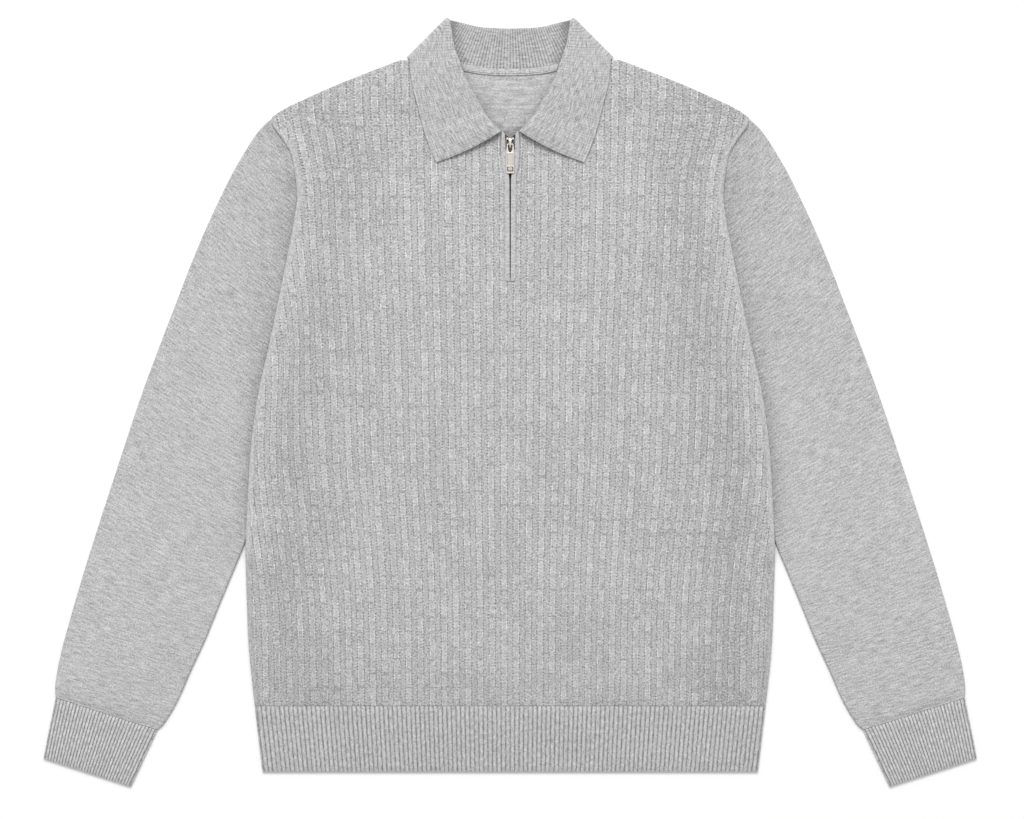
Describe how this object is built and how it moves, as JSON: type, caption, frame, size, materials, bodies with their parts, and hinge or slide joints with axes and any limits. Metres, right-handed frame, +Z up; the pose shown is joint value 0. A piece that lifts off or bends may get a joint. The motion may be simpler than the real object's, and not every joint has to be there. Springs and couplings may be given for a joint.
{
  "type": "zip neck polo shirt",
  "caption": "Long-sleeved grey knitted polo shirt with a folded collar and a short neck zip, laid flat on its back.",
  "frame": {"origin": "on the surface the garment lies on, under the middle of its box", "axes": "+X to the wearer's left, +Y towards the collar, +Z up from the surface, out of the front"},
  "size_m": [0.9062, 0.7456, 0.0094],
  "materials": {
    "body_knit": "heather grey rib and pinhole knit",
    "sleeve_jersey": "heather grey plain knit",
    "rib_knit": "heather grey ribbed knit",
    "collar_knit": "heather grey fine rib knit",
    "zip_tape": "grey woven tape",
    "zip_metal": "light nickel plate"
  },
  "bodies": {
    "garment": {"back": "body_knit", "front": "body_knit", "sleeve_left": "sleeve_jersey", "sleeve_right": "sleeve_jersey", "cuff_left": "rib_knit", "cuff_right": "rib_knit", "hem_band": "rib_knit", "collar": "collar_knit", "neck_tape": "sleeve_jersey", "placket_left": "body_knit", "placket_right": "body_knit", "zip_tape_left": "zip_tape", "zip_tape_right": "zip_tape", "slider": "zip_metal"},
    "pull": {"pull_tab": "zip_metal"}
  },
  "joints": [
    {"name": "pull_hinge", "type": "hinge", "parent": "garment", "child": "pull", "pos_m": [0, 0.2499, 0.0072], "axis": [-1, 0, 0], "range_deg": [0, 160]}
  ]
}
